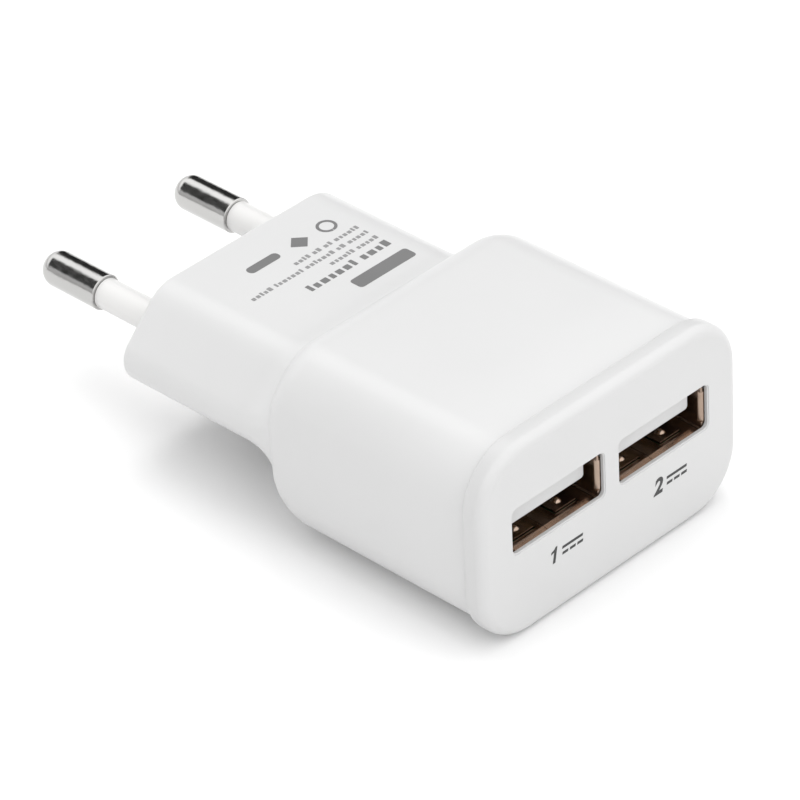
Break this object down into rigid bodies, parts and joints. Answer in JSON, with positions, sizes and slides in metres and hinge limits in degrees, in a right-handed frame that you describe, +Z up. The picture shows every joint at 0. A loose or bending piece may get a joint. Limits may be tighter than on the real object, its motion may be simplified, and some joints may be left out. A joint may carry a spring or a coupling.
{
  "type": "usb wall charger",
  "caption": "White plug-in USB wall charger: a rounded box with USB ports in its front face, stepping down at the back to a hexagonal plug with sleeved round mains pins.",
  "frame": {"origin": "middle of the underside of the bounding box, halfway between the port face and the pin tips", "axes": "+Y points along the mains pins, out of the back; -Y is the face with the USB ports; +X is right as seen from the ports; +Z is up, towards the side with the printed label"},
  "size_m": [0.0376, 0.0714, 0.0227],
  "materials": {
    "white_gloss_plastic": "smooth gloss",
    "white_bezel_plastic": "smooth satin-gloss",
    "sleeve_plastic": "smooth matte",
    "nickel_plate": "polished nickel plate",
    "tinned_steel": "bright sheet metal",
    "white_insulator": "moulded matte",
    "gold_flash": "thin gold plate on a copper alloy spring",
    "green_laminate": "glass-fibre laminate with solder mask",
    "ferrite": "sintered, dull",
    "black_bobbin": "moulded",
    "yellow_tape": "polyester tape",
    "capacitor_sleeve": "shrink sleeve on an aluminium can",
    "black_epoxy": "moulded epoxy",
    "resistor_coating": "painted ceramic",
    "red_wire_skin": "PVC insulation",
    "blue_ceramic": "dipped ceramic"
  },
  "bodies": {
    "charger": {"bridge_rectifier": "black_epoxy", "controller_ic": "black_epoxy", "filter_inductor": "ferrite", "front_bezel": "white_bezel_plastic", "fusible_resistor": "resistor_coating", "input_capacitor_left": "capacitor_sleeve", "input_capacitor_right": "capacitor_sleeve", "isolation_capacitor": "blue_ceramic", "main_board": "green_laminate", "mains_lead": "red_wire_skin", "optocoupler": "black_epoxy", "output_capacitor_left": "capacitor_sleeve", "output_capacitor_right": "capacitor_sleeve", "output_diode": "black_epoxy", "pin_left": "nickel_plate", "pin_right": "nickel_plate", "pin_sleeve_left": "sleeve_plastic", "pin_sleeve_right": "sleeve_plastic", "rear_housing": "white_gloss_plastic", "transformer_bobbin": "black_bobbin", "transformer_core_front": "ferrite", "transformer_core_rear": "ferrite", "transformer_winding": "yellow_tape", "usb_shell_left": "tinned_steel", "usb_shell_right": "tinned_steel", "usb_tail_left_1": "gold_flash", "usb_tail_left_2": "gold_flash", "usb_tail_left_3": "gold_flash", "usb_tail_left_4": "gold_flash", "usb_tail_right_1": "gold_flash", "usb_tail_right_2": "gold_flash", "usb_tail_right_3": "gold_flash", "usb_tail_right_4": "gold_flash", "usb_tongue_left": "white_insulator", "usb_tongue_right": "white_insulator"},
    "contact_left_1": {"usb_contact_left_1": "gold_flash"},
    "contact_left_2": {"usb_contact_left_2": "gold_flash"},
    "contact_left_3": {"usb_contact_left_3": "gold_flash"},
    "contact_left_4": {"usb_contact_left_4": "gold_flash"},
    "contact_right_1": {"usb_contact_right_1": "gold_flash"},
    "contact_right_2": {"usb_contact_right_2": "gold_flash"},
    "contact_right_3": {"usb_contact_right_3": "gold_flash"},
    "contact_right_4": {"usb_contact_right_4": "gold_flash"}
  },
  "joints": [
    {"name": "contact_left_1_flex", "type": "hinge", "parent": "charger", "child": "contact_left_1", "pos_m": [-0.01121, -0.0249, 0.01287], "axis": [-1, 0, 0], "range_deg": [0, 4], "stiffness_Nm_per_rad": 0.07},
    {"name": "contact_left_2_flex", "type": "hinge", "parent": "charger", "child": "contact_left_2", "pos_m": [-0.00871, -0.0249, 0.01287], "axis": [-1, 0, 0], "range_deg": [0, 4], "stiffness_Nm_per_rad": 0.07},
    {"name": "contact_left_3_flex", "type": "hinge", "parent": "charger", "child": "contact_left_3", "pos_m": [-0.00671, -0.0249, 0.01287], "axis": [-1, 0, 0], "range_deg": [0, 4], "stiffness_Nm_per_rad": 0.07},
    {"name": "contact_left_4_flex", "type": "hinge", "parent": "charger", "child": "contact_left_4", "pos_m": [-0.00421, -0.0249, 0.01287], "axis": [-1, 0, 0], "range_deg": [0, 4], "stiffness_Nm_per_rad": 0.07},
    {"name": "contact_right_1_flex", "type": "hinge", "parent": "charger", "child": "contact_right_1", "pos_m": [0.00421, -0.0249, 0.01287], "axis": [-1, 0, 0], "range_deg": [0, 4], "stiffness_Nm_per_rad": 0.07},
    {"name": "contact_right_2_flex", "type": "hinge", "parent": "charger", "child": "contact_right_2", "pos_m": [0.00671, -0.0249, 0.01287], "axis": [-1, 0, 0], "range_deg": [0, 4], "stiffness_Nm_per_rad": 0.07},
    {"name": "contact_right_3_flex", "type": "hinge", "parent": "charger", "child": "contact_right_3", "pos_m": [0.00871, -0.0249, 0.01287], "axis": [-1, 0, 0], "range_deg": [0, 4], "stiffness_Nm_per_rad": 0.07},
    {"name": "contact_right_4_flex", "type": "hinge", "parent": "charger", "child": "contact_right_4", "pos_m": [0.01121, -0.0249, 0.01287], "axis": [-1, 0, 0], "range_deg": [0, 4], "stiffness_Nm_per_rad": 0.07}
  ]
}
